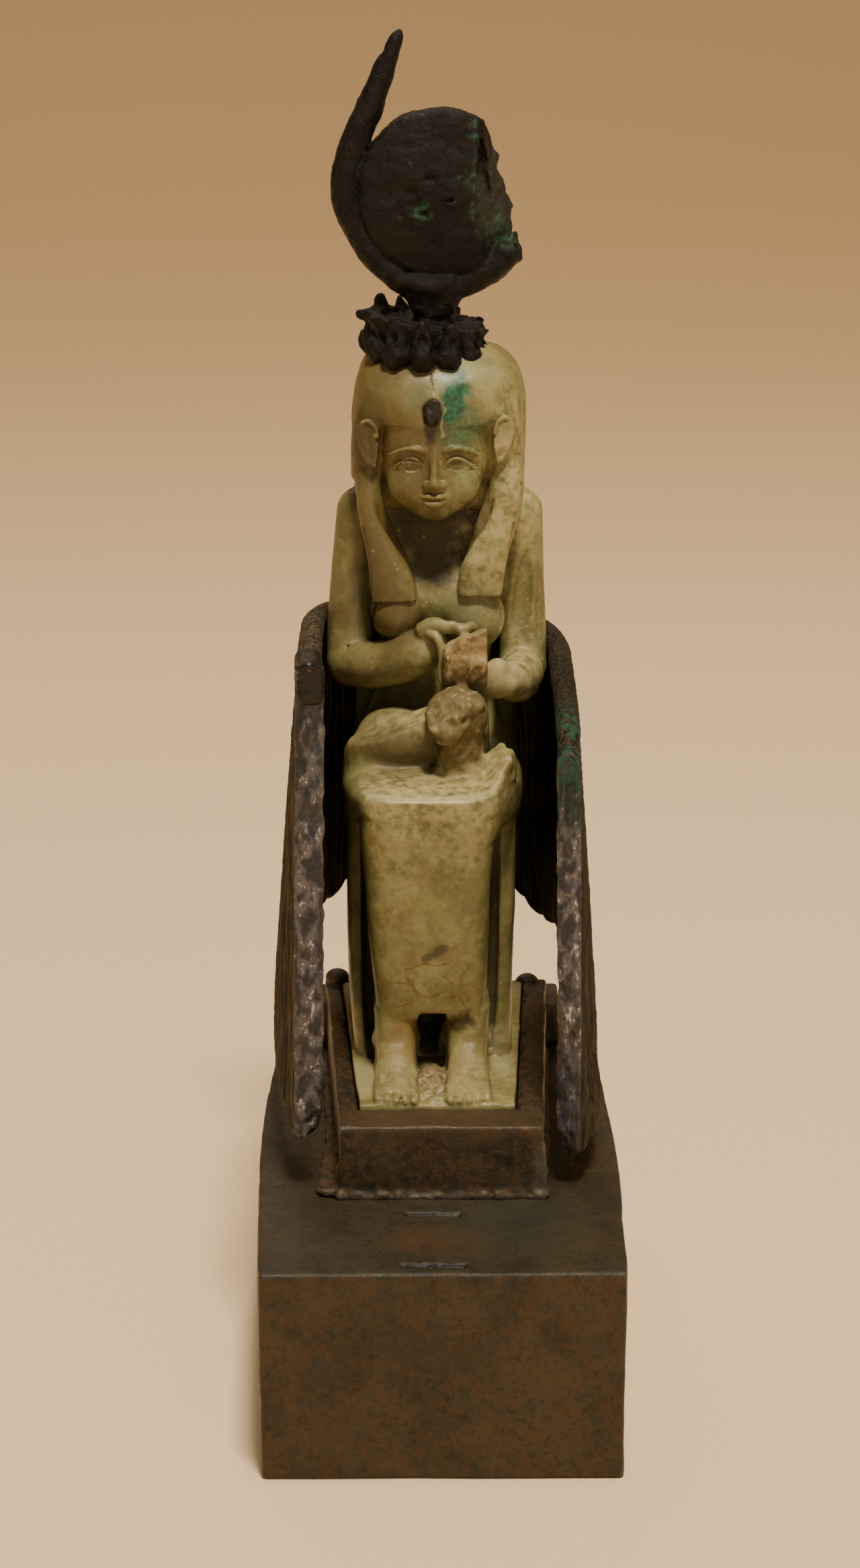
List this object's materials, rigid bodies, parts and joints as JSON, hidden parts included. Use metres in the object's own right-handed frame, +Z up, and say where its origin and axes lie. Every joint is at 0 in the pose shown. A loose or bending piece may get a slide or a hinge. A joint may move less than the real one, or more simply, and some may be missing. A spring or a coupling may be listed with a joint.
{
  "type": "seated isis and horus figure",
  "caption": "Seated stone goddess nursing a child, with a broken bronze horned-disk crown, between the wings of a bronze goddess on a deep bronze base.",
  "frame": {"origin": "centre of the base's underside", "axes": "+Z up, the figure faces -Y, +X is at the viewer's right"},
  "size_m": [0.0666, 0.122, 0.242],
  "materials": {
    "base_bronze": "brown patina with rusty mottling, worn lighter at the edges",
    "socket_bronze": "brown patina with rusty mottling",
    "figure_stone": "polished olive-green stone, mottled cream",
    "stub_bronze": "dark broken bronze",
    "crown_bronze": "rough dark brown patina, green in the breaks",
    "wing_bronze": "grey-brown patina, rough and shiny front edges"
  },
  "bodies": {
    "root": {"base": "base_bronze", "throne_socket": "socket_bronze", "isis_with_horus": "figure_stone", "uraeus_stub": "stub_bronze", "horned_disk_crown": "crown_bronze", "winged_goddess": "wing_bronze"}
  },
  "joints": []
}
